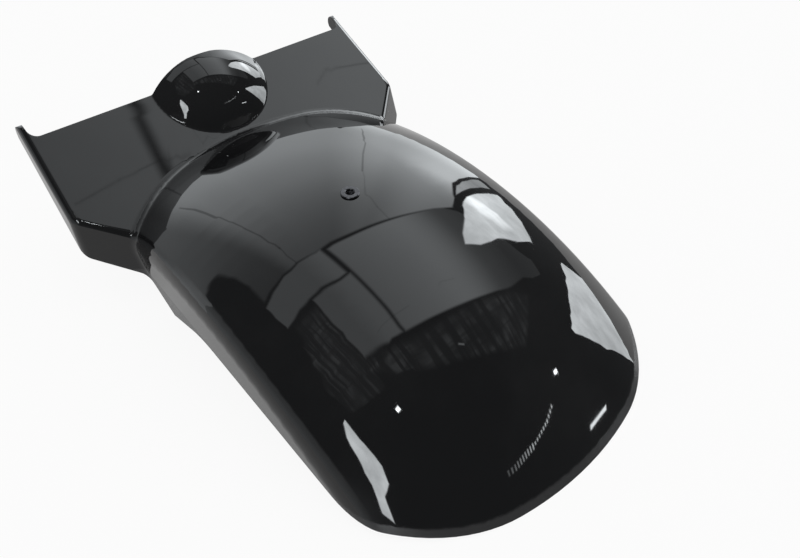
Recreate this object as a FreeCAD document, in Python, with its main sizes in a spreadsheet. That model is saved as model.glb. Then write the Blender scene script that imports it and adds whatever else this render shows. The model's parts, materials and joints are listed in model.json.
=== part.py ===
import FreeCAD, Part
import math
import os
import Sketcher

# Bobbed rear fender: one thin moulded shell and the threaded insert riveted into its crown.
# Sizes are in millimetres and degrees. Lengths along the fender run forward from the tip of
# the tail, heights run up from the ground it stands on.
SIZES = [
    ("wall", 4.0),
    # The tray: the seat panel with its side flanges, drawn at ground level and narrowing upwards.
    ("draft", 5.5),
    ("tray_half", 178.5),
    ("neck_fwd", 352.0),
    ("bevel", 36.5),
    ("bevel_draft", 10.2),
    ("corner_round", 12.0),
    ("panel_front", 462.8),
    ("panel_high", 123.9),
    ("panel_slope", 31.9),
    ("fold_round", 7.0),
    # The dome: an arch of five arcs swung about the wheel's axle. The crown arc is centred on the
    # axle itself; the turns are the slopes at which one arc hands over to the next.
    ("dome_half", 138.0),
    ("dome_lift", 7.7),
    ("crown_turn", 7.24),
    ("haunch_turn", 32.35),
    ("crown_radius", 444.0),
    ("crown_fwd", 284.8),
    ("valley_round", 11.0),
    # The hump at the middle of the panel's front edge: part of a ball sunk into the panel.
    ("hump_ball", 78.3),
    ("hump_back", 8.9),
    ("hump_sink", 56.9),
    ("hump_round", 4.0),
    # The trimmed edges: the rim behind, the tooth it drops to, the flanges' lower edge, the tabs.
    ("rim_slope", 4.43),
    ("tooth_fwd", 323.6),
    ("tooth_run", 59.4),
    ("tooth_round", 90.0),
    ("trim_slope", 35.9),
    ("tab_long", 24.0),
    ("tab_inner", 161.0),
    ("tab_fillet", 8.0),
    # The rivet nut that takes the seat's screw.
    ("nut_fwd", 238.5),
    ("nut_bore", 6.8),
    ("nut_barrel", 11.0),
    ("nut_flange", 15.0),
    ("nut_flange_thick", 1.5),
    ("nut_crimp", 14.0),
    ("nut_crimp_thick", 3.0),
    ("nut_long", 18.0),
]
size = dict(SIZES)

doc = FreeCAD.newDocument("bobbed_rear_fender")
sheet = doc.addObject("Spreadsheet::Sheet", "Sheet")
for row, (alias, value) in enumerate(SIZES, start=1):
    sheet.set("A%d" % row, alias)
    sheet.set("B%d" % row, str(value))
    sheet.setAlias("B%d" % row, alias)
doc.recompute()

# Formulas used by several pieces.
MID = "(Sheet.panel_front + Sheet.tab_long) / 2"
AXLE_DEEP = "sqrt(Sheet.crown_radius^2 - Sheet.crown_fwd^2)"
FAR = "(Sheet.panel_front + Sheet.tab_long + 60)"
PANEL_TAN = "tan(Sheet.panel_slope)"
TRIM_TAN = "tan(Sheet.trim_slope)"

# The radii of the arch's crown, haunch and shoulder arcs, so that it comes out dome_half wide to
# each side and drops by four tenths of that less dome_lift.
S1, S2, C1, C2 = ("sin(Sheet.crown_turn)", "sin(Sheet.haunch_turn)",
                  "cos(Sheet.crown_turn)", "cos(Sheet.haunch_turn)")
BOW = "Sheet.crown_radius"
ACROSS = "(Sheet.dome_half - %s * %s)" % (BOW, S1)
RISE = "(0.4 * Sheet.dome_half - Sheet.dome_lift - %s * (1 - %s))" % (BOW, C1)
SHARE = "((%s - %s) * %s - (1 - %s) * (%s - %s))" % (S2, S1, C2, S2, C1, C2)
BOWS = [BOW,
        "((%s * %s - (1 - %s) * %s) / %s)" % (ACROSS, C2, S2, RISE, SHARE),
        "(((%s - %s) * %s - (%s - %s) * %s) / %s)" % (S2, S1, RISE, C1, C2, ACROSS, SHARE)]


def bow_sizes():
    # The same three radii as numbers.
    s1 = math.sin(math.radians(size["crown_turn"]))
    s2 = math.sin(math.radians(size["haunch_turn"]))
    c1 = math.cos(math.radians(size["crown_turn"]))
    c2 = math.cos(math.radians(size["haunch_turn"]))
    bow = size["crown_radius"]
    across = size["dome_half"] - bow * s1
    rise = 0.4 * size["dome_half"] - size["dome_lift"] - bow * (1 - c1)
    share = (s2 - s1) * c2 - (1 - s2) * (c1 - c2)
    return [bow, (across * c2 - (1 - s2) * rise) / share, ((s2 - s1) * rise - (c1 - c2) * across) / share]


def origin_plane(body, role):
    for feature in body.Origin.OriginFeatures:
        if feature.Role == role:
            return feature


def new_body(name):
    # Every body is drawn from the tail's tip and moved so that the origin lies half way along.
    body = doc.addObject("PartDesign::Body", name)
    body.setExpression("Placement.Base.y", "-" + MID)
    return body


def new_sketch(body, name, role):
    sketch = body.newObject("Sketcher::SketchObject", name)
    sketch.AttachmentSupport = (origin_plane(body, role), "")
    sketch.MapMode = "FlatFace"
    return sketch


def bind(sketch, constraint, formula):
    index = sketch.addConstraint(constraint)
    sketch.setExpression("Constraints[%d]" % index, formula)


def polygon(sketch, corners):
    # A closed outline whose every corner is tied to the sheet.
    count = len(corners)
    turn = [2 * math.pi * i / count for i in range(count + 1)]
    spot = [FreeCAD.Vector(200 * math.cos(a), 200 * math.sin(a), 0) for a in turn]
    lines = [sketch.addGeometry(Part.LineSegment(spot[i], spot[i + 1])) for i in range(count)]
    for i in range(count):
        sketch.addConstraint(Sketcher.Constraint("Coincident", lines[i], 2, lines[(i + 1) % count], 1))
    for i, (across, along) in enumerate(corners):
        bind(sketch, Sketcher.Constraint("DistanceX", -1, 1, lines[i], 1, spot[i].x), across)
        bind(sketch, Sketcher.Constraint("DistanceY", -1, 1, lines[i], 1, spot[i].y), along)


def edges_where(shape, test):
    return ["Edge%d" % (i + 1) for i, edge in enumerate(shape.Edges) if test(edge)]


def middle(edge):
    return edge.valueAt((edge.FirstParameter + edge.LastParameter) / 2)


def round_off(body, name, base, names, formula):
    if not names:
        raise RuntimeError("no edge found for " + name)
    rounded = body.newObject("PartDesign::Fillet", name)
    rounded.Base = (base, names)
    rounded.setExpression("Radius", formula)
    doc.recompute()
    return rounded


def is_hollow(shape, edge):
    # True where the two faces at an edge meet in an inside corner.
    faces = shape.ancestorsOfType(edge, Part.Face)
    if len(faces) != 2:
        return False
    at = middle(edge)
    along = edge.tangentAt((edge.FirstParameter + edge.LastParameter) / 2)
    steps = []
    for face in faces:
        u, v = face.Surface.parameter(at)
        inward = face.normalAt(u, v).cross(along)
        inward.normalize()
        choices = [at + inward * 0.2, at - inward * 0.2]
        steps.append(min(choices, key=lambda p: face.distToShape(Part.Vertex(p))[0]))
    between = (steps[0] + steps[1]) * 0.5
    if (between - at).Length < 0.01:
        return False
    return not shape.isInside(between, 1e-5, False)


def make_form(name, inset):
    # One skin of the fender as a solid block; inset is how far it lies inside the outer skin.
    skin = 0.0 if inset == "0" else size[inset.split(".")[1]]
    body = new_body(name)
    slope_rad = math.radians(size["panel_slope"])

    # The tray's plan: straight sides, bevelled rear shoulders that run into the dome.
    bevel_rise = "(tan(Sheet.bevel_draft) / cos(Sheet.bevel))"
    half = "(Sheet.tray_half - %s / cos(Sheet.draft))" % inset
    neck = "(Sheet.neck_fwd + %s * sqrt(1 + tan(Sheet.bevel)^2 + %s^2))" % (inset, bevel_rise)
    corner = "(%s + (%s - Sheet.dome_half) * tan(Sheet.bevel))" % (neck, half)
    deep_half = "(Sheet.dome_half * 0.72)"
    deep_along = "(%s - 0.28 * Sheet.dome_half * tan(Sheet.bevel))" % neck
    plan = new_sketch(body, name + "_plan", "XY_Plane")
    polygon(plan, [(half, FAR), (half, corner), (deep_half, deep_along),
                   ("-" + deep_half, deep_along), ("-" + half, corner), ("-" + half, FAR)])
    block = body.newObject("PartDesign::Pad", name + "_block")
    block.Profile = plan
    block.SideType = "Two sides"
    block.setExpression("Length", "Sheet.panel_high + 100")
    block.setExpression("Length2", "Sheet.crown_radius * 0.4")
    doc.recompute()

    def lean(part, title, low, high, formula):
        # Tips the upright faces that look sideways by more than low and less than high.
        names = []
        for i, face in enumerate(part.Shape.Faces):
            sideways = abs(face.normalAt(0, 0).x)
            if low < sideways < high:
                names.append("Face%d" % (i + 1))
        tipped = body.newObject("PartDesign::Draft", name + title)
        tipped.Base = (part, names)
        tipped.NeutralPlane = (origin_plane(body, "XY_Plane"), [""])
        tipped.setExpression("Angle", formula)
        doc.recompute()
        return tipped
    tipped = lean(block, "_sides", 0.99, 1.01, "Sheet.draft")
    tray = lean(tipped, "_tray", 0.2, 0.9, "Sheet.bevel_draft")

    def at_corner(edge):
        ends = [v.Point for v in edge.Vertexes]
        upright = abs(ends[0].z - ends[1].z) > size["panel_high"] / 2
        spot = middle(edge)
        return upright and abs(spot.x) > size["dome_half"] and spot.y < size["panel_front"]
    round_off(body, name + "_corners", tray, edges_where(tray.Shape, at_corner),
              "Sheet.corner_round - %s" % inset)

    # Everything above the sloping panel is taken off.
    level = "(Sheet.panel_high - %s / cos(Sheet.panel_slope))" % inset
    back_run = "(Sheet.panel_front - Sheet.neck_fwd + Sheet.dome_half * 0.7)"
    ahead_run = "(Sheet.tab_long + 120)"
    side = new_sketch(body, name + "_side", "YZ_Plane")
    polygon(side, [("Sheet.panel_front - " + back_run, "%s - %s * %s" % (level, back_run, PANEL_TAN)),
                   ("Sheet.panel_front + " + ahead_run, "%s + %s * %s" % (level, ahead_run, PANEL_TAN)),
                   ("Sheet.panel_front + " + ahead_run, level + " + 400"),
                   ("Sheet.panel_front - " + back_run, level + " + 400")])
    slope = body.newObject("PartDesign::Pocket", name + "_slope")
    slope.Profile = side
    slope.SideType = "Symmetric"
    slope.Type = "ThroughAll"
    doc.recompute()

    def on_panel(point):
        rise = size["panel_high"] - skin / math.cos(slope_rad)
        return abs(point.z - rise - (point.y - size["panel_front"]) * math.tan(slope_rad)) < 0.01

    def at_fold(edge):
        flat = all(on_panel(v.Point) for v in edge.Vertexes)
        return flat and abs(middle(edge).x) > size["dome_half"] * 0.75
    round_off(body, name + "_fold", slope, edges_where(slope.Shape, at_fold),
              "Sheet.fold_round - %s" % inset)

    # The dome's section, a five-arc arch on upright skirts, and the axle it swings about.
    arch = new_sketch(body, name + "_arch", "XZ_Plane")
    arch.setExpression("AttachmentOffset.Base.z", "-Sheet.crown_fwd")
    deep = math.sqrt(size["crown_radius"] ** 2 - size["crown_fwd"] ** 2)
    low = 0.55 * size["crown_radius"] - deep
    bows = [bow - skin for bow in bow_sizes()]
    turns = [0.0, math.radians(size["crown_turn"]), math.radians(size["haunch_turn"]), math.pi / 2]
    centre = FreeCAD.Vector(0, -deep, 0)
    upright = FreeCAD.Vector(0, 0, 1)
    axle = arch.addGeometry(Part.LineSegment(FreeCAD.Vector(-50, -deep, 0), FreeCAD.Vector(50, -deep, 0)), True)
    crown = arch.addGeometry(Part.ArcOfCircle(Part.Circle(centre, upright, bows[0]), math.pi / 2 - turns[1],
                                              math.pi / 2 + turns[1]))
    chains = []
    for way in (1, -1):
        chain = [crown]
        spot = FreeCAD.Vector(centre)
        for i in (1, 2):
            step = bows[i - 1] - bows[i]
            spot = spot + FreeCAD.Vector(way * step * math.sin(turns[i]), step * math.cos(turns[i]), 0)
            ends = sorted([math.pi / 2 - way * turns[i], math.pi / 2 - way * turns[i + 1]])
            chain.append(arch.addGeometry(Part.ArcOfCircle(Part.Circle(spot, upright, bows[i]), ends[0], ends[1])))
        wide = spot.x + way * bows[2]
        chain.append(arch.addGeometry(Part.LineSegment(FreeCAD.Vector(wide, spot.y, 0), FreeCAD.Vector(wide, low, 0))))
        chains.append(chain)
    right = chains[0][3]
    left = chains[1][3]
    foot = arch.addGeometry(Part.LineSegment(FreeCAD.Vector(size["dome_half"] - skin, low, 0),
                                             FreeCAD.Vector(skin - size["dome_half"], low, 0)))
    for chain, out, back in ((chains[0], 1, 2), (chains[1], 2, 1)):
        arch.addConstraint(Sketcher.Constraint("Tangent", chain[0], out, chain[1], back))
        arch.addConstraint(Sketcher.Constraint("Tangent", chain[1], out, chain[2], back))
        arch.addConstraint(Sketcher.Constraint("Tangent", chain[2], out, chain[3], 1))
        arch.addConstraint(Sketcher.Constraint("Vertical", chain[3]))
    arch.addConstraint(Sketcher.Constraint("Coincident", right, 2, foot, 1))
    arch.addConstraint(Sketcher.Constraint("Coincident", foot, 2, left, 2))
    for line in (axle, foot):
        arch.addConstraint(Sketcher.Constraint("Horizontal", line))
    arch.addConstraint(Sketcher.Constraint("DistanceX", -1, 1, axle, 1, -50.0))
    arch.addConstraint(Sketcher.Constraint("DistanceX", -1, 1, axle, 2, 50.0))
    bind(arch, Sketcher.Constraint("DistanceY", -1, 1, axle, 1, -deep), "-" + AXLE_DEEP)
    arch.addConstraint(Sketcher.Constraint("PointOnObject", crown, 3, -2))
    arch.addConstraint(Sketcher.Constraint("PointOnObject", crown, 3, axle))
    bind(arch, Sketcher.Constraint("Radius", crown, bows[0]), "%s - %s" % (BOWS[0], inset))
    handover = "(%s - %s) * sin(Sheet.crown_turn)" % (BOWS[0], inset)
    shoulder = "%s + (%s - %s) * (sin(Sheet.haunch_turn) - sin(Sheet.crown_turn))" % (handover, BOWS[1], inset)
    for chain, back, sign in ((chains[0], 2, ""), (chains[1], 1, "-")):
        for i, formula in ((1, handover), (2, shoulder)):
            bind(arch, Sketcher.Constraint("Radius", chain[i], bows[i]), "%s - %s" % (BOWS[i], inset))
            bind(arch, Sketcher.Constraint("DistanceX", -1, 1, chain[i], back, 1.0), "%s(%s)" % (sign, formula))
    bind(arch, Sketcher.Constraint("DistanceY", -1, 1, right, 2, low), "0.55 * Sheet.crown_radius - " + AXLE_DEEP)
    dome = body.newObject("PartDesign::Revolution", name + "_dome")
    dome.Profile = arch
    dome.ReferenceAxis = (arch, ["Axis0"])
    dome.Type = "TwoAngles"
    dome.Angle = 52
    dome.Angle2 = 24
    doc.recompute()

    # The hump: part of a ball sunk into the panel, with a soft crease around it.
    hump = body.newObject("PartDesign::AdditiveSphere", name + "_hump")
    hump.AttachmentSupport = (origin_plane(body, "XY_Plane"), "")
    hump.MapMode = "FlatFace"
    hump.setExpression("Radius", "Sheet.hump_ball - %s" % inset)
    hump.setExpression("AttachmentOffset.Rotation.Pitch", "90")
    hump.setExpression("AttachmentOffset.Base.y", "Sheet.panel_front - Sheet.hump_back * cos(Sheet.panel_slope)"
                       " + Sheet.hump_sink * sin(Sheet.panel_slope)")
    hump.setExpression("AttachmentOffset.Base.z", "Sheet.panel_high - Sheet.hump_back * sin(Sheet.panel_slope)"
                       " - Sheet.hump_sink * cos(Sheet.panel_slope)")
    doc.recompute()

    def at_hump(edge):
        return edge.isClosed() and all(on_panel(v.Point) for v in edge.Vertexes)
    crease = round_off(body, name + "_crease", hump, edges_where(hump.Shape, at_hump),
                       "Sheet.hump_round + %s" % inset)

    # The valley where the panel runs into the dome, and the necks where its flanges do.
    def at_valley(edge):
        spot = middle(edge)
        if edge.isClosed() or spot.y > size["panel_front"] - 20 or spot.z < -size["panel_high"] / 2:
            return False
        return is_hollow(crease.Shape, edge)
    round_off(body, name + "_valley", crease, edges_where(crease.Shape, at_valley), "Sheet.valley_round")
    return body


outer = make_form("outer_form", "0")
inner = make_form("inner_form", "Sheet.wall")

# What is trimmed off below: the rim rises gently from the tail, drops to the tooth at the neck,
# and the flanges' lower edge climbs from there to the front.
below = new_body("below_trim")
below_side = new_sketch(below, "below_side", "YZ_Plane")
rim_end = "(Sheet.tooth_fwd - Sheet.tooth_run)"
polygon(below_side, [("-150", "-150 * tan(Sheet.rim_slope)"), (rim_end, rim_end + " * tan(Sheet.rim_slope)"),
                     ("Sheet.tooth_fwd", "0"), ("%s + 60" % FAR, "(%s + 60 - Sheet.tooth_fwd) * %s" % (FAR, TRIM_TAN)),
                     ("%s + 60" % FAR, "-300"), ("-150", "-300")])
below_block = below.newObject("PartDesign::Pad", "below_block")
below_block.Profile = below_side
below_block.SideType = "Symmetric"
below_block.setExpression("Length", "4 * Sheet.tray_half")
doc.recompute()


def at_rim_end(edge):
    spot = middle(edge)
    along = size["tooth_fwd"] - size["tooth_run"]
    high = along * math.tan(math.radians(size["rim_slope"]))
    return abs(spot.y - along) < 0.01 and abs(spot.z - high) < 0.01


round_off(below, "below_round", below_block, edges_where(below_block.Shape, at_rim_end), "Sheet.tooth_round")

# What is trimmed off in front of the panel's edge, between the two tabs.
front = new_body("front_trim")
front_plan = new_sketch(front, "front_plan", "XY_Plane")
polygon(front_plan, [("Sheet.tab_inner", "Sheet.panel_front"), ("Sheet.tab_inner", "%s + 120" % FAR),
                     ("-Sheet.tab_inner", "%s + 120" % FAR), ("-Sheet.tab_inner", "Sheet.panel_front")])
front_block = front.newObject("PartDesign::Pad", "front_block")
front_block.Profile = front_plan
front_block.SideType = "Symmetric"
front_block.setExpression("Length", "8 * Sheet.panel_high")
doc.recompute()


def at_tab_root(edge):
    ends = [v.Point for v in edge.Vertexes]
    upright = abs(ends[0].z - ends[1].z) > size["panel_high"]
    return upright and abs(ends[0].y - size["panel_front"]) < 0.01


round_off(front, "front_round", front_block, edges_where(front_block.Shape, at_tab_root), "Sheet.tab_fillet")

# What is trimmed off beyond the rounded noses of the tabs.
nose = new_body("nose_trim")
lead = "(Sheet.tab_long * 0.55)"
tab_deep = "((Sheet.panel_high + %s * %s) - (Sheet.panel_front + %s - Sheet.tooth_fwd) * %s)" % (
    lead, PANEL_TAN, lead, TRIM_TAN)
nose_round = "(0.5 * %s * cos(Sheet.panel_slope))" % tab_deep
nose_along = "(Sheet.panel_front + Sheet.tab_long - %s)" % nose_round
nose_high = "(Sheet.panel_high + %s * %s - 0.5 * %s)" % (lead, PANEL_TAN, tab_deep)
lift = "60 * sin(Sheet.panel_slope)"
reach = "60 * cos(Sheet.panel_slope)"
nose_side = new_sketch(nose, "nose_side", "YZ_Plane")
polygon(nose_side, [("%s - %s" % (nose_along, lift), "%s + %s" % (nose_high, reach)),
                    ("%s - %s + 2 * %s" % (nose_along, lift, reach), "%s + %s + 2 * %s" % (nose_high, reach, lift)),
                    ("%s + %s + 2 * %s" % (nose_along, lift, reach), "%s - %s + 2 * %s" % (nose_high, reach, lift)),
                    ("%s + %s" % (nose_along, lift), "%s - %s" % (nose_high, reach))])
nose_block = nose.newObject("PartDesign::Pad", "nose_block")
nose_block.Profile = nose_side
nose_block.SideType = "Symmetric"
nose_block.setExpression("Length", "4 * Sheet.tray_half")
doc.recompute()
nose_ring = new_sketch(nose, "nose_ring", "YZ_Plane")
ring = nose_ring.addGeometry(Part.Circle(FreeCAD.Vector(size["panel_front"], size["panel_high"], 0),
                                         FreeCAD.Vector(0, 0, 1), 8))
bind(nose_ring, Sketcher.Constraint("DistanceX", -1, 1, ring, 3, size["panel_front"]), nose_along)
bind(nose_ring, Sketcher.Constraint("DistanceY", -1, 1, ring, 3, size["panel_high"]), nose_high)
bind(nose_ring, Sketcher.Constraint("Radius", ring, 8), nose_round)
nose_cut = nose.newObject("PartDesign::Pocket", "nose_cut")
nose_cut.Profile = nose_ring
nose_cut.SideType = "Symmetric"
nose_cut.Type = "ThroughAll"
doc.recompute()

# The hole for the rivet nut goes square through the crown.
crown_high = "(sqrt(Sheet.crown_radius^2 - (Sheet.nut_fwd - Sheet.crown_fwd)^2) - %s)" % AXLE_DEEP
nut_tilt = "asin((Sheet.crown_fwd - Sheet.nut_fwd) / Sheet.crown_radius)"
drill = doc.addObject("Part::Cylinder", "nut_hole")
drill.setExpression("Radius", "Sheet.nut_barrel / 2")
drill.setExpression("Height", "4 * Sheet.wall")
drill.setExpression("Placement.Base.y", "Sheet.nut_fwd - %s + 2 * Sheet.wall * sin(%s)" % (MID, nut_tilt))
drill.setExpression("Placement.Base.z", "%s - 2 * Sheet.wall * cos(%s)" % (crown_high, nut_tilt))
drill.setExpression("Placement.Rotation.Roll", nut_tilt)


def cut(name, base, tool):
    result = doc.addObject("Part::Cut", name)
    result.Base = base
    result.Tool = tool
    return result


hollow = cut("hollow_form", outer, inner)
trimmed = cut("trimmed_below", hollow, below)
fronted = cut("trimmed_front", trimmed, front)
nosed = cut("trimmed_tabs", fronted, nose)
shell = cut("fender_shell", nosed, drill)
shell.Label = "fender_shell"

# The rivet nut: a low flange on the crown, a barrel through it and the crimp pulled up underneath.
nut = doc.addObject("PartDesign::Body", "rivet_nut")
nut.Label = "rivet_nut"
profile = new_sketch(nut, "nut_profile", "XZ_Plane")
grip = "(Sheet.wall + 0.08)"
tip = "(Sheet.nut_long - Sheet.nut_flange_thick)"
polygon(profile, [("Sheet.nut_bore / 2", "Sheet.nut_flange_thick - 0.6"),
                  ("Sheet.nut_bore / 2 + 0.6", "Sheet.nut_flange_thick"),
                  ("Sheet.nut_flange / 2 - 0.5", "Sheet.nut_flange_thick"),
                  ("Sheet.nut_flange / 2", "Sheet.nut_flange_thick - 0.5"),
                  ("Sheet.nut_flange / 2", "0"),
                  ("Sheet.nut_barrel / 2", "0"),
                  ("Sheet.nut_barrel / 2", "-" + grip),
                  ("Sheet.nut_crimp / 2", "-" + grip),
                  ("Sheet.nut_crimp / 2", "-%s - Sheet.nut_crimp_thick" % grip),
                  ("Sheet.nut_barrel / 2", "-%s - Sheet.nut_crimp_thick" % grip),
                  ("Sheet.nut_barrel / 2", "-" + tip),
                  ("Sheet.nut_bore / 2", "-" + tip)])
turned = nut.newObject("PartDesign::Revolution", "nut_turned")
turned.Profile = profile
turned.ReferenceAxis = (profile, ["V_Axis"])
turned.Angle = 360
nut.setExpression("Placement.Base.y", "Sheet.nut_fwd - " + MID)
nut.setExpression("Placement.Base.z", crown_high)
nut.setExpression("Placement.Rotation.Roll", nut_tilt)
doc.recompute()

# Every object is checked before anything is written.
for obj in doc.Objects:
    if "Invalid" in obj.State or "Error" in obj.State:
        raise RuntimeError("%s failed: %s" % (obj.Name, obj.getStatusString()))
os.makedirs("parts", exist_ok=True)
for piece in (shell, nut):
    if piece.Shape.isNull() or not piece.Shape.isValid() or len(piece.Shape.Solids) != 1:
        raise RuntimeError("%s is not one sound solid" % piece.Label)
for piece in (shell, nut):
    piece.Shape.exportStep("parts/%s.step" % piece.Label)
    box = piece.Shape.BoundBox
    print(piece.Label, "volume", round(piece.Shape.Volume), "x %.1f %.1f y %.1f %.1f z %.1f %.1f" % (
        box.XMin, box.XMax, box.YMin, box.YMax, box.ZMin, box.ZMax))
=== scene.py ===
"""Dresses a bobbed rear fender: a gloss black moulded shell and the threaded rivet nut in its crown."""

import json
import math

import bmesh
import bpy
from mathutils import Matrix, Vector


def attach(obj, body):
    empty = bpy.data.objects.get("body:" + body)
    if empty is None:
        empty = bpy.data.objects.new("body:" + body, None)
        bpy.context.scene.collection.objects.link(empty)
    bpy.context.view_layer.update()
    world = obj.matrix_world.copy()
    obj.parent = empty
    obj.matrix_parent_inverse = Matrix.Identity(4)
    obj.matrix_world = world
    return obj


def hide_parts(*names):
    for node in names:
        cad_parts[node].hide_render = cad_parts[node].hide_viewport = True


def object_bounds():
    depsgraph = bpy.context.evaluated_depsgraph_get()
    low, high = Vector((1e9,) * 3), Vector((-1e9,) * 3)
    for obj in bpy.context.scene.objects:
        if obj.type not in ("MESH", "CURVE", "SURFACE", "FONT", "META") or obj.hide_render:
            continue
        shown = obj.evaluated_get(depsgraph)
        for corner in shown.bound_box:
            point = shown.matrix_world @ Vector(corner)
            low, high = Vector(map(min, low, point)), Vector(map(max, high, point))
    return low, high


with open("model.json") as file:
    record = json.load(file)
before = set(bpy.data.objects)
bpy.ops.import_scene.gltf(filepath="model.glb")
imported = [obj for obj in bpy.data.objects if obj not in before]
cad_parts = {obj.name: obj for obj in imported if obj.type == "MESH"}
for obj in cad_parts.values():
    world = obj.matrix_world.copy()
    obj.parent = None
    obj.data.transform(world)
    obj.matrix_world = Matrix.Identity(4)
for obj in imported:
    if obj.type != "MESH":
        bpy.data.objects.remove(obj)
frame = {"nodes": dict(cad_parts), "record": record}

bl_info = {
    "name": "Bobbed Rear Fender",
    "version": (1, 0, 0),
    "blender": (4, 5, 0),
    "location": "View3D > Sidebar > Fender",
    "description": "Finishes the fender shell and its rivet nut and sets up the studio round them",
    "category": "Object",
}

CAD_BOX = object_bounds()
SCREW = next(m for m in frame["record"]["mounts"] if m["name"] == "seat_screw")

# Places on the shell in metres: its tail, the front edge of the panel behind the tabs, and a point
# under the dome that the inside faces. The rim rises from the tail towards the front.
TAIL_Y = CAD_BOX[0].y
TAB_LENGTH = 0.024
PANEL_Y = CAD_BOX[1].y - TAB_LENGTH
WHEEL_Y = 0.05
WHEEL_Z = -0.2
RIM_SLOPE = math.tan(math.radians(4.43))

# Corners of the shell's mesh closer than this, in metres, become one.
MERGE_DISTANCE = 0.00001

# The nut's thread: steps in a turn, how far its foot sits inside the wall of the bore, and half its
# width as a share of the pitch. The turning rings: their phase, in radians for a metre of radius.
THREAD_STEPS = 20
THREAD_SINK = 0.00005
THREAD_HALF_WIDTH = 0.42
RING_PHASE = 24000.0

# The studio floor, and how much of its white the camera and the mirror images get.
FLOOR_RADIUS = 6.0
FLOOR_SIDES = 96
FLOOR_SEEN_WHITE = 0.9
FLOOR_MIRRORED_WHITE = 0.15
WHITE = (1.0, 1.0, 1.0, 1.0)


class ShellFinish(bpy.types.PropertyGroup):
    """Gloss black of the moulded shell."""

    black: bpy.props.FloatVectorProperty(
        name="Black",
        description="Colour of the moulded gloss surface",
        subtype="COLOR",
        size=3,
        min=0.0,
        max=1.0,
        default=(0.004, 0.004, 0.0044),
    )
    dust: bpy.props.FloatVectorProperty(
        name="Dust",
        description="Colour of the fine dust and of the haze in the gloss",
        subtype="COLOR",
        size=3,
        min=0.0,
        max=1.0,
        default=(0.014, 0.014, 0.0145),
    )
    # Painted highlight: this lighter colour of the strip along the rim stands in for light caught by a
    # rounded rim edge.
    edge: bpy.props.FloatVectorProperty(
        name="Rim edge",
        description="Colour of the rubbed strip along the rim",
        subtype="COLOR",
        size=3,
        min=0.0,
        max=1.0,
        default=(0.035, 0.035, 0.036),
    )
    gloss: bpy.props.FloatProperty(
        name="Gloss roughness",
        description="Roughness of the cleanest part of the gloss",
        min=0.0,
        max=1.0,
        default=0.02,
    )
    # Height of the painted highlight strip along the rim, which also raises the roughness there.
    rim_highlight_width: bpy.props.FloatProperty(
        name="Rim strip",
        description="Height of the rubbed strip above the rim",
        subtype="DISTANCE",
        unit="LENGTH",
        min=0.0,
        default=0.0032,
    )
    smooth_angle: bpy.props.FloatProperty(
        name="Smooth angle",
        description="Edges that turn less than this are shaded as one surface",
        subtype="ANGLE",
        unit="ROTATION",
        default=math.radians(32),
    )


class NutFinish(bpy.types.PropertyGroup):
    """Plated steel of the rivet nut."""

    steel: bpy.props.FloatVectorProperty(
        name="Steel",
        description="Colour of the dark plated steel",
        subtype="COLOR",
        size=3,
        min=0.0,
        max=1.0,
        default=(0.075, 0.075, 0.08),
    )
    pitch: bpy.props.FloatProperty(
        name="Thread pitch",
        description="Distance from one turn of the thread to the next",
        subtype="DISTANCE",
        unit="LENGTH",
        default=0.00125,
    )
    depth: bpy.props.FloatProperty(
        name="Thread depth",
        description="How far the thread stands into the bore",
        subtype="DISTANCE",
        unit="LENGTH",
        default=0.00035,
    )
    turns: bpy.props.IntProperty(
        name="Turns",
        description="Number of turns of the thread",
        min=1,
        default=13,
    )


class StudioSetup(bpy.types.PropertyGroup):
    """Floor, light and camera."""

    floor: bpy.props.FloatVectorProperty(
        name="Floor",
        description="Colour of the studio floor",
        subtype="COLOR",
        size=3,
        min=0.0,
        max=1.0,
        default=(0.78, 0.78, 0.78),
    )
    room: bpy.props.FloatProperty(
        name="Room",
        description="Brightness of the unlit part of the room",
        min=0.0,
        default=0.13,
    )
    fill: bpy.props.FloatProperty(
        name="Fill light",
        description="Brightness of the even light on matt surfaces",
        min=0.0,
        default=0.9,
    )
    sweep: bpy.props.FloatProperty(
        name="Pale sweep",
        description="Brightness of the pale backdrop in front of the part",
        min=0.0,
        default=1.0,
    )
    windows: bpy.props.FloatProperty(
        name="Windows",
        description="Brightness of the bright windows",
        min=0.0,
        default=10.0,
    )
    camera_place: bpy.props.FloatVectorProperty(
        name="Camera place",
        description="Where the camera stands",
        subtype="TRANSLATION",
        unit="LENGTH",
        size=3,
        default=(-0.21898, -0.33829, 0.37785),
    )
    camera_turn: bpy.props.FloatVectorProperty(
        name="Camera turn",
        description="Which way the camera looks",
        subtype="EULER",
        unit="ROTATION",
        size=3,
        default=(math.radians(46.93855), math.radians(2.86722), math.radians(-40.84963)),
    )
    camera_lens: bpy.props.FloatProperty(
        name="Camera lens",
        description="Focal length for a 36 mm wide picture, in millimetres",
        min=1.0,
        default=28.035,
    )


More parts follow.
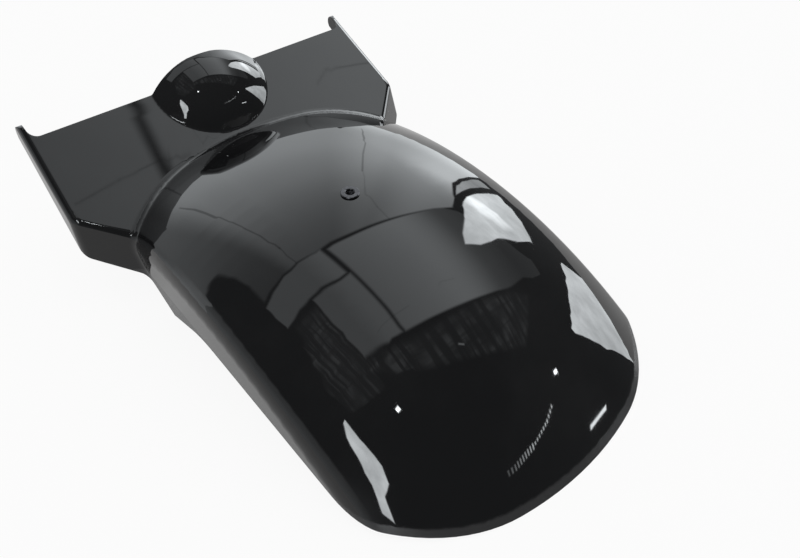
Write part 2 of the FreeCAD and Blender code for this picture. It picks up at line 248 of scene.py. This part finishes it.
class Term:
    """A shader socket that plain Python arithmetic works on."""

    def __init__(self, sheet, socket):
        self.sheet = sheet
        self.socket = socket

    def __add__(self, other):
        return self.sheet.math("ADD", self, other)

    def __radd__(self, other):
        return self.sheet.math("ADD", other, self)

    def __sub__(self, other):
        return self.sheet.math("SUBTRACT", self, other)

    def __rsub__(self, other):
        return self.sheet.math("SUBTRACT", other, self)

    def __mul__(self, other):
        return self.sheet.math("MULTIPLY", self, other)

    def __rmul__(self, other):
        return self.sheet.math("MULTIPLY", other, self)

    def __truediv__(self, other):
        return self.sheet.math("DIVIDE", self, other)

    def __pow__(self, other):
        return self.sheet.math("POWER", self, other)

    def least(self, other):
        return self.sheet.math("MINIMUM", self, other)

    def most(self, other):
        return self.sheet.math("MAXIMUM", self, other)

    def step(self, low, high):
        """0 below low, 1 above high and a smooth rise between; high may be the lower one."""
        first, last = (0.0, 1.0) if low < high else (1.0, 0.0)
        node = self.sheet.add(
            "ShaderNodeMapRange",
            {"interpolation_type": "SMOOTHSTEP"},
            {
                "Value": self,
                "From Min": min(low, high),
                "From Max": max(low, high),
                "To Min": first,
                "To Max": last,
            },
        )
        return self.sheet.out(node, "Result")


class NodeSheet:
    """A node tree, emptied, with one way of adding nodes to it."""

    def __init__(self, tree):
        self.tree = tree
        tree.nodes.clear()

    def add(self, kind, settings=None, sockets=None):
        """Adds a node: its settings first, then the values or links of its sockets."""
        node = self.tree.nodes.new(kind)
        for name, value in (settings or {}).items():
            setattr(node, name, value)
        for name, value in (sockets or {}).items():
            socket = node.inputs[name]
            if isinstance(value, Term):
                self.tree.links.new(value.socket, socket)
            else:
                socket.default_value = value
        return node

    def out(self, node, name=0):
        return Term(self, node.outputs[name])

    def math(self, operation, *values):
        return self.out(self.add("ShaderNodeMath", {"operation": operation}, dict(enumerate(values))))

    def vector(self, operation, first, second=(0.0, 0.0, 0.0), result="Vector"):
        """Vector maths; result is Value for an operation that gives a number."""
        node = self.add("ShaderNodeVectorMath", {"operation": operation}, {0: first, 1: second})
        return self.out(node, result)

    def split(self, vector):
        node = self.add("ShaderNodeSeparateXYZ", None, {0: vector})
        return [self.out(node, name) for name in ("X", "Y", "Z")]

    def join(self, x, y, z=0.0):
        return self.out(self.add("ShaderNodeCombineXYZ", None, {0: x, 1: y, 2: z}))

    def noise(self, place, scale, detail=2.0, rough=0.5):
        sockets = {"Vector": place, "Scale": scale, "Detail": detail, "Roughness": rough}
        return self.out(self.add("ShaderNodeTexNoise", None, sockets))

    def blend(self, share, first, second):
        """Mixes two colours."""
        node = self.add("ShaderNodeMix", {"data_type": "RGBA"}, {0: share, 6: first, 7: second})
        return self.out(node, 2)

    def mix(self, share, first, second):
        """Mixes two shaders."""
        return self.out(self.add("ShaderNodeMixShader", None, {0: share, 1: first, 2: second}))

    def background(self, colour, strength):
        return self.out(self.add("ShaderNodeBackground", None, {"Color": colour, "Strength": strength}))

    def ray_kinds(self):
        """1 for rays from the camera, and 1 for rays that a gloss or clear surface sends on."""
        ray = self.add("ShaderNodeLightPath")
        mirrored = self.out(ray, "Is Glossy Ray").most(self.out(ray, "Is Transmission Ray"))
        return self.out(ray, "Is Camera Ray"), mirrored


def rgba(colour):
    return (*colour, 1.0)


def new_material(name):
    material = bpy.data.materials.new(name)
    material.use_nodes = True
    return material, NodeSheet(material.node_tree)


def give(piece, material):
    piece.data.materials.clear()
    piece.data.materials.append(material)


def new_piece(name, mesh):
    piece = bpy.data.objects.new(name, mesh)
    bpy.context.scene.collection.objects.link(piece)
    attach(piece, "root")
    return piece


def gloss_black(finish):
    """Gloss black outside with faint haze and dust, a painted highlight along the rim, and plain moulded
    grain inside.
    """
    material, sheet = new_material("gloss_black")
    coordinates = sheet.add("ShaderNodeTexCoord")
    place = sheet.out(coordinates, "Object")
    x, y, z = sheet.split(place)
    nx, ny, nz = sheet.split(sheet.out(coordinates, "Normal"))

    # faces that look towards the wheel are the inside, apart from the tabs in front of the panel
    facing = x * nx + (y - WHEEL_Y) * ny + (z - WHEEL_Z) * nz
    inside = facing.step(0.004, -0.012) * y.step(PANEL_Y + 0.001, PANEL_Y - 0.001)

    # painted highlight: a lighter, rougher strip along the rim stands in for light on a rounded rim
    # edge; the rim slopes up towards the front
    height = z - (y - TAIL_Y) * RIM_SLOPE
    ragged = sheet.noise(place, scale=160.0, detail=3.0) * 0.0012 - 0.0006
    rim = (height + ragged).step(finish.rim_highlight_width * 1.25, finish.rim_highlight_width * 0.75)

    haze = sheet.noise(place, scale=9.0, detail=4.0, rough=0.6).step(0.38, 0.72)
    smear = sheet.noise(place, scale=34.0, detail=5.0, rough=0.62).step(0.42, 0.75)
    specks = sheet.noise(place, scale=900.0).step(0.72, 0.8)

    # dust stays on the faces that look up
    settled = nz.step(0.2, 0.9) * (haze * 0.35 + specks * 0.6)
    colour = sheet.blend(settled.least(1.0), rgba(finish.black), rgba(finish.dust))
    # painted highlight: the strip along the rim takes the lighter rim colour
    colour = sheet.blend(rim * 0.8, colour, rgba(finish.edge))
    colour = sheet.blend(inside * 0.5, colour, rgba(finish.dust))

    outside_rough = finish.gloss + haze * 0.015 + smear * 0.012 + specks * 0.05 + rim * 0.22
    grain = sheet.noise(place, scale=1400.0, detail=3.0, rough=0.6)
    inside_rough = 0.46 + grain * 0.14
    rough = outside_rough * (1 - inside) + inside_rough * inside

    # a long faint wave in the gloss, and grain on the inside
    wave = sheet.noise(place, scale=60.0, rough=0.4)
    lift = wave * 0.06 * (1 - inside) + grain * 0.8 * inside
    bump = sheet.add("ShaderNodeBump", None, {"Strength": 0.25, "Distance": 0.0002, "Height": lift})

    shader = sheet.add(
        "ShaderNodeBsdfPrincipled",
        None,
        {"Base Color": colour, "Roughness": rough, "IOR": 1.5, "Normal": sheet.out(bump)},
    )
    sheet.add("ShaderNodeOutputMaterial", None, {"Surface": sheet.out(shader)})
    return material


def turned_steel(finish):
    """Dark plated steel with turning rings round the screw axis."""
    material, sheet = new_material("nut_steel")
    place = sheet.out(sheet.add("ShaderNodeTexCoord"), "Object")
    centred = sheet.vector("SUBTRACT", place, tuple(SCREW["pos_m"]))
    off_axis = sheet.vector("CROSS_PRODUCT", centred, tuple(SCREW["axis"]))
    radius = sheet.vector("LENGTH", off_axis, result="Value")

    rings = sheet.math("SINE", radius * RING_PHASE) * 0.5 + 0.5
    stain = sheet.noise(place, scale=420.0, detail=4.0, rough=0.6).step(0.35, 0.7)
    grime = sheet.noise(place, scale=1500.0, detail=3.0).step(0.5, 0.75)
    steel = rgba(finish.steel)
    dull = rgba([c * 0.45 for c in finish.steel])
    colour = sheet.blend(stain * 0.55 + grime * 0.3, steel, dull)
    rough = 0.24 + rings * 0.06 + stain * 0.12 + grime * 0.1
    lift = rings * 0.5 + grime * 0.5
    bump = sheet.add("ShaderNodeBump", None, {"Strength": 0.3, "Distance": 0.00004, "Height": lift})
    shader = sheet.add(
        "ShaderNodeBsdfPrincipled",
        None,
        {"Base Color": colour, "Metallic": 1.0, "Roughness": rough, "Normal": sheet.out(bump)},
    )
    sheet.add("ShaderNodeOutputMaterial", None, {"Surface": sheet.out(shader)})
    return material


class FENDER_OT_finish_shell(bpy.types.Operator):
    """Lay a smooth gloss black skin over the moulded shell"""

    bl_idname = "fender.finish_shell"
    bl_label = "Finish Shell"
    bl_options = {"REGISTER", "UNDO"}

    def execute(self, context):
        finish = context.scene.shell_finish
        mesh = bpy.data.meshes.new("fender_skin")
        work = bmesh.new()
        work.from_mesh(frame["nodes"]["fender_shell"].data)
        for layer in list(work.loops.layers.int.values()):
            work.loops.layers.int.remove(layer)
        bmesh.ops.remove_doubles(work, verts=work.verts[:], dist=MERGE_DISTANCE)
        for face in work.faces:
            face.smooth = True
        for edge in work.edges:
            edge.smooth = edge.calc_face_angle(0.0) < finish.smooth_angle
        work.to_mesh(mesh)
        work.free()
        for name in [a.name for a in mesh.attributes if a.name == "custom_normal"]:
            mesh.attributes.remove(mesh.attributes[name])
        skin = new_piece("fender_skin", mesh)
        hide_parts("fender_shell")
        even = skin.modifiers.new("even_shading", "WEIGHTED_NORMAL")
        even.mode = "FACE_AREA"
        even.keep_sharp = True
        give(skin, gloss_black(finish))
        return {"FINISHED"}


class FENDER_OT_finish_nut(bpy.types.Operator):
    """Give the rivet nut its turned steel and cut the thread in its bore"""

    bl_idname = "fender.finish_nut"
    bl_label = "Finish Nut"
    bl_options = {"REGISTER", "UNDO"}

    def execute(self, context):
        finish = context.scene.nut_finish
        steel = turned_steel(finish)
        give(frame["nodes"]["rivet_nut"], steel)

        # a ridge of three corners, its foot a little inside the nut, is wound up the bore
        bore = SCREW["dims"]["r_mm"] / 1000.0
        foot = bore + THREAD_SINK
        low = -finish.pitch * finish.turns / 2
        half = finish.pitch * THREAD_HALF_WIDTH
        work = bmesh.new()
        corners = [
            work.verts.new((foot, 0.0, low - half)),
            work.verts.new((bore - finish.depth, 0.0, low)),
            work.verts.new((foot, 0.0, low + half)),
        ]
        ring = [work.edges.new((corners[i], corners[(i + 1) % 3])) for i in range(3)]
        bmesh.ops.spin(
            work,
            geom=corners + ring,
            cent=(0.0, 0.0, 0.0),
            axis=(0.0, 0.0, 1.0),
            dvec=(0.0, 0.0, finish.pitch / THREAD_STEPS),
            angle=math.tau * finish.turns,
            steps=THREAD_STEPS * finish.turns,
        )
        bmesh.ops.holes_fill(work, edges=work.edges[:], sides=3)
        bmesh.ops.recalc_face_normals(work, faces=work.faces[:])
        turn = Vector((0.0, 0.0, 1.0)).rotation_difference(Vector(SCREW["axis"]))
        seat = Matrix.Translation(SCREW["pos_m"]) @ turn.to_matrix().to_4x4()
        bmesh.ops.transform(work, matrix=seat, verts=work.verts[:])
        mesh = bpy.data.meshes.new("nut_thread")
        work.to_mesh(mesh)
        work.free()
        give(new_piece("nut_thread", mesh), steel)
        return {"FINISHED"}


def strip(first, last, half):
    """Corners of a narrow pane from one point of the plan to another."""
    run = (Vector(last) - Vector(first)).normalized() * half
    left = Vector((-run.y, run.x))
    ends = (Vector(first) + left, Vector(last) + left, Vector(last) - left, Vector(first) - left)
    return tuple((end.x, end.y) for end in ends)


# The brightest light that the room can have, its cool tint, and the least rise of a ray on the plan.
BRIGHTEST = 160.0
COOL = (0.93, 0.975, 1.0, 1.0)
LEAST_RISE = 0.02

# How much seams darken, how far the shelves' pattern is drawn out, and the bulbs' share of the light.
SEAM_SHADE = 0.45
SHELF_STRETCH = 0.08
BULB_SHARE = 1.3

# Softness of the edges.
JOINT_EDGE = 0.002
SEAM_EDGE = 0.006
WINDOW_EDGE = 0.008
CEILING_EDGE = 0.01
SWEEP_EDGE = 0.012
SHELF_EDGE = 0.025

# Plans of the light in the room, as distances across and ahead for each unit of height.
SWEEP = ((-0.5, 0.47), (-60.0, 50.0), (125.0, 64.0), (1.13, 0.445))
NOTCH = ((1.2, 0.47), (2.2, 1.1), (60.0, 31.0), (60.0, 24.0))
SEAMS = (
    strip((-0.01, 0.44), (-0.005, 0.62), 0.006),
    strip((-0.005, 0.61), (-0.15, 1.36), 0.008),
    strip((-0.15, 1.35), (-0.38, 2.6), 0.016),
    strip((0.63, 0.43), (0.66, 0.58), 0.002),
    strip((0.659, 0.575), (0.71, 0.705), 0.002),
    strip((0.705, 0.7), (0.96, 1.08), 0.001),
    strip((0.95, 1.07), (1.9, 2.24), 0.006),
    strip((1.88, 2.22), (6.0, 7.06), 0.014),
)
CEILING = (
    ((-0.49, 0.26), (-0.51, 0.44), (0.22, 0.455), (0.22, 0.255)),
    ((-0.14, -0.14), (-0.14, 0.24), (0.23, 0.24), (0.23, -0.14)),
    ((0.245, -0.145), (0.245, 0.43), (1.05, 0.445), (2.0, -0.05), (1.9, -0.2), (1.0, -0.22)),
)
JOINTS = (
    strip((0.538, -0.043), (0.565, -0.026), 0.001),
    strip((0.564, -0.026), (0.66, -0.044), 0.001),
    strip((0.1, -0.071), (0.172, -0.062), 0.001),
    strip((0.17, -0.062), (0.335, -0.055), 0.001),
)
SHELVES = (
    ((-0.42, 0.21), (-0.155, 0.21), (-0.155, -0.2), (-0.2, -0.32), (-0.577, -0.3), (-0.64, -0.12)),
    ((-0.14, -0.16), (1.0, -0.24), (1.15, -0.33), (0.88, -0.59), (-0.2, -0.2)),
)

# Windows and lamps: each one's share of the windows' brightness, then its corners.
WINDOWS = (
    # upper window at the right, and the pale patch beside it
    (
        0.85,
        (
            (0.927, 0.125),
            (0.99, 0.205),
            (1.15, 0.345),
            (1.437, 0.517),
            (1.993, 0.782),
            (16.25, 6.5),
            (8.97, 2.62),
            (3.573, 0.386),
            (1.044, 0.095),
        ),
    ),
    (0.35, ((1.62, 0.7), (2.2, 1.04), (20.0, 9.95), (20.0, 8.8))),
    # lower window at the right
    (1.1, ((1.64, -0.74), (2.8, -0.48), (8.9, 0.48), (60.0, 2.0), (60.0, -19.0), (1.7, -0.8))),
    # narrow window at the left, in two parts
    (
        1.1,
        (
            (-0.739, -0.282),
            (-0.755, -0.45),
            (-0.797, -0.64),
            (-0.922, -0.777),
            (-1.148, -0.862),
            (-1.202, -0.753),
            (-0.888, -0.372),
        ),
    ),
    (1.1, ((-1.202, -0.753), (-1.148, -0.862), (-1.263, -0.973), (-1.422, -1.115), (-1.433, -0.995))),
    # two small lamps, a bar and a short dash
    (7.0, ((-0.223, -0.436), (-0.223, -0.42), (-0.187, -0.42), (-0.187, -0.436))),
    (7.0, ((1.087, -0.915), (1.087, -0.885), (1.123, -0.885), (1.123, -0.915))),
    (2.0, strip((1.53, -1.75), (2.03, -1.8), 0.03)),
    (0.3, strip((0.435, -0.348), (0.46, -0.365), 0.002)),
)

# The curved row of bulbs.
BULBS = (
    strip((0.945, -1.095), (0.835, -1.18), 0.012),
    strip((0.84, -1.177), (0.64, -1.259), 0.014),
    strip((0.645, -1.257), (0.36, -1.29), 0.032),
)


class Room:
    """The studio round the part as the gloss mirrors it, painted by direction."""

    def __init__(self, sheet):
        self.sheet = sheet
        self.way = sheet.out(sheet.add("ShaderNodeTexCoord"), "Generated")
        x, y, z = sheet.split(self.way)
        rise = z.most(LEAST_RISE)
        self.across = x / rise
        self.ahead = y / rise
        self.plan = sheet.join(self.across, self.ahead, 1.0)
        self.azimuth = sheet.math("ARCTAN2", x, y) * math.degrees(1.0)
        self.height = sheet.math("ARCSINE", z) * math.degrees(1.0)

    def pane(self, corners, soft):
        """1 inside a many-sided pane overhead, 0 outside; its corners run clockwise seen on the plan."""
        depth = None
        for (x, y), (next_x, next_y) in zip(corners, corners[1:] + corners[:1]):
            span = math.hypot(next_x - x, next_y - y)
            inward_x = (next_y - y) / span
            inward_y = (x - next_x) / span
            line = (inward_x, inward_y, -x * inward_x - y * inward_y)
            inside = self.sheet.vector("DOT_PRODUCT", self.plan, line, "Value")
            depth = inside if depth is None else depth.least(inside)
        return depth.step(-soft, soft)

    def panes(self, plans, soft):
        return sum(self.pane(corners, soft) for corners in plans)

    def shaded(self, tone, plans, soft):
        """Darkens a tone along seams."""
        for corners in plans:
            tone = tone * (1 - self.pane(corners, soft) * SEAM_SHADE)
        return tone

    def backdrop(self):
        """Pale sweep in front, brighter towards the windows and away from the ceiling."""
        azimuth = self.azimuth
        tone = 0.65 + azimuth.step(-20.0, -3.0) * 1.05 + azimuth.step(32.0, 46.0) * 1.1
        tone = tone + azimuth.step(46.0, 62.0) * 2.1
        tone = tone * (0.42 + self.ahead.step(0.3, 1.35) * 0.58)
        tone = tone * (1 - self.height.step(24.0, 8.0) * 0.3)
        tone = self.shaded(tone, SEAMS, SEAM_EDGE)

        # a round dark opening at its left and a notch at its right
        opening = ((self.across + 1.1) ** 2.0 + (self.ahead - 0.5) ** 2.0).step(0.36, 0.43)
        opening = opening * (1 - self.pane(NOTCH, SWEEP_EDGE))
        return self.pane(SWEEP, SWEEP_EDGE) * opening * tone

    def ceiling(self):
        """Pale ceiling in three parts, brighter towards the right up to a fade, with fine joints."""
        across = self.across
        rising = across.most(0.0) * 1.9 * (1 - across.step(0.6, 0.98))
        tone = 0.85 + rising - across.step(0.7, 1.3) * 0.6
        tone = self.shaded(tone, JOINTS, JOINT_EDGE)
        return self.panes(CEILING, CEILING_EDGE) * tone

    def side_wall(self):
        """Dim wall at the left, a little brighter low down."""
        wall = self.azimuth.step(-135.0, -100.0) * self.azimuth.step(-30.0, -46.0)
        return wall * self.height.step(36.0, 25.0) * (0.42 + self.height.step(26.0, 0.0) * 0.2)

    def shelves(self):
        """Shelves beside the ceiling: uneven uprights, levels across them, some bays lit."""
        sheet = self.sheet
        drawn_out = sheet.join(self.across, self.ahead * SHELF_STRETCH)
        uprights = sheet.noise(drawn_out, scale=27.0, detail=3.0).step(0.44, 0.58)
        laid_flat = sheet.join(self.across * SHELF_STRETCH, self.ahead)
        levels = sheet.noise(laid_flat, scale=26.0).step(0.4, 0.5)
        bays = sheet.noise(self.plan, scale=7.0).step(0.38, 0.68)
        stored = uprights * (0.45 + levels * 0.55) * (0.06 + bays * 0.34)
        return self.panes(SHELVES, SHELF_EDGE) * (0.06 + stored)

    def windows(self):
        """Bright windows behind thin cloth, small lamps and a row of bulbs."""
        sheet = self.sheet
        cloth = 0.4 + sheet.noise(self.way, scale=6.0, detail=4.0, rough=0.6) * 1.2
        cloth = cloth * (0.42 + self.height.step(0.0, 34.0) * 0.58)
        glow = ((self.across - 2.2) ** 2.0 + (self.ahead * 2.0 - 1.24) ** 2.0).step(0.4, 0.0)
        cloth = cloth * (1 + glow * 0.7)
        lit = sum(self.pane(corners, WINDOW_EDGE) * share for share, corners in WINDOWS) * cloth
        beads = sheet.math("SINE", self.across * 210.0).step(0.0, 0.5) * self.across.step(0.2, 1.0)
        return lit + self.panes(BULBS, WINDOW_EDGE) * beads * BULB_SHARE


class FENDER_OT_set_studio(bpy.types.Operator):
    """Lay the floor, light the studio and place the camera"""

    bl_idname = "fender.set_studio"
    bl_label = "Set Studio"
    bl_options = {"REGISTER", "UNDO"}

    def execute(self, context):
        setup = context.scene.studio_setup
        self.lay_floor(setup)
        self.light_room(context.scene, setup)
        self.place_camera(context.scene, setup)
        context.scene.view_settings.view_transform = "Standard"
        return {"FINISHED"}

    def lay_floor(self, setup):
        work = bmesh.new()
        bmesh.ops.create_circle(work, cap_ends=True, radius=FLOOR_RADIUS, segments=FLOOR_SIDES)
        mesh = bpy.data.meshes.new("studio_floor")
        work.to_mesh(mesh)
        work.free()
        floor = bpy.data.objects.new("studio_floor", mesh)
        bpy.context.scene.collection.objects.link(floor)
        material, sheet = new_material("pale_floor")
        matt = sheet.add("ShaderNodeBsdfDiffuse", None, {"Color": rgba(setup.floor)})
        paper = sheet.add("ShaderNodeEmission", None, {"Color": WHITE, "Strength": 1.0})
        seen, mirrored = sheet.ray_kinds()
        share = (seen * FLOOR_SEEN_WHITE).most(mirrored * FLOOR_MIRRORED_WHITE)
        mixed = sheet.mix(share, sheet.out(matt), sheet.out(paper))
        sheet.add("ShaderNodeOutputMaterial", None, {"Surface": mixed})
        give(floor, material)

    def light_room(self, scene, setup):
        world = bpy.data.worlds.new("studio_room")
        world.use_nodes = True
        scene.world = world
        sheet = NodeSheet(world.node_tree)
        room = Room(sheet)
        light = (room.backdrop() + room.ceiling()) * setup.sweep + room.side_wall() + setup.room
        light = light + room.shelves() + room.windows() * setup.windows
        dark = sheet.background(COOL, 0.0)
        bright = sheet.background(COOL, BRIGHTEST)
        lit_room = sheet.mix(light * (1 / BRIGHTEST), dark, bright)

        # only what mirrors shows the room, matt surfaces take plain light and the camera sees white
        seen, mirrored = sheet.ray_kinds()
        shown = sheet.mix(mirrored, sheet.background(WHITE, setup.fill), lit_room)
        shown = sheet.mix(seen, shown, sheet.background(WHITE, 1.0))
        sheet.add("ShaderNodeOutputWorld", None, {"Surface": shown})

    def place_camera(self, scene, setup):
        camera = bpy.data.cameras.new("photo_camera")
        camera.sensor_fit = "HORIZONTAL"
        camera.sensor_width = 36.0
        camera.lens = setup.camera_lens
        camera.clip_start = 0.01
        holder = bpy.data.objects.new("photo_camera", camera)
        holder.location = setup.camera_place
        holder.rotation_euler = setup.camera_turn
        scene.collection.objects.link(holder)
        scene.camera = holder


class FENDER_PT_dress(bpy.types.Panel):
    """Sizes, colours and steps of the fender"""

    bl_idname = "FENDER_PT_dress"
    bl_label = "Bobbed Rear Fender"
    bl_space_type = "VIEW_3D"
    bl_region_type = "UI"
    bl_category = "Fender"

    def draw(self, context):
        scene = context.scene
        for group, step in (
            (scene.shell_finish, FENDER_OT_finish_shell),
            (scene.nut_finish, FENDER_OT_finish_nut),
            (scene.studio_setup, FENDER_OT_set_studio),
        ):
            column = self.layout.column(align=True)
            for name in group.__annotations__:
                column.prop(group, name)
            column.operator(step.bl_idname)


CLASSES = (
    ShellFinish,
    NutFinish,
    StudioSetup,
    FENDER_OT_finish_shell,
    FENDER_OT_finish_nut,
    FENDER_OT_set_studio,
    FENDER_PT_dress,
)


def register():
    for cls in CLASSES:
        bpy.utils.register_class(cls)
    bpy.types.Scene.shell_finish = bpy.props.PointerProperty(type=ShellFinish)
    bpy.types.Scene.nut_finish = bpy.props.PointerProperty(type=NutFinish)
    bpy.types.Scene.studio_setup = bpy.props.PointerProperty(type=StudioSetup)


def unregister():
    del bpy.types.Scene.studio_setup
    del bpy.types.Scene.nut_finish
    del bpy.types.Scene.shell_finish
    for cls in reversed(CLASSES):
        bpy.utils.unregister_class(cls)


def main():
    register()
    bpy.ops.fender.finish_shell()
    bpy.ops.fender.finish_nut()
    bpy.ops.fender.set_studio()


if __name__ == "__main__":
    main()
